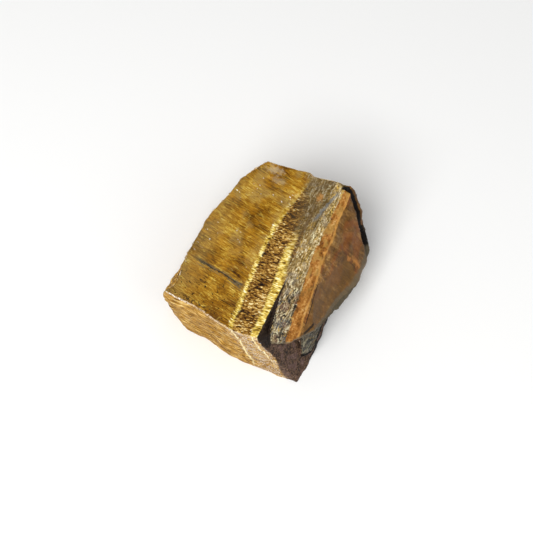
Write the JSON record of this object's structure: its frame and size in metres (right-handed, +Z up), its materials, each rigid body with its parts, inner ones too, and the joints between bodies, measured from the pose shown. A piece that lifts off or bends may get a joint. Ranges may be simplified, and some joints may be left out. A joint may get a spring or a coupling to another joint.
{
  "type": "rough tigers eye",
  "caption": "Broken chunk of rough tigers eye with silky golden fibre seams, a grey layer with an orange skin, and a flat underside to rest on.",
  "frame": {"origin": "centre of the stone's bounding box, at the level of the flat underside it rests on", "axes": "+Z up from the underside; +Y runs along the seams, away from the broken front end; +X runs across the seams, from the golden seam to the orange skin"},
  "size_m": [0.046, 0.0492, 0.0338],
  "materials": {
    "tigers_eye": "silky golden brown quartz fibres with bright yellow seams, a grained grey layer, a waxy orange skin and dull dark ironstone"
  },
  "bodies": {
    "root": {"stone": "tigers_eye"}
  },
  "joints": []
}
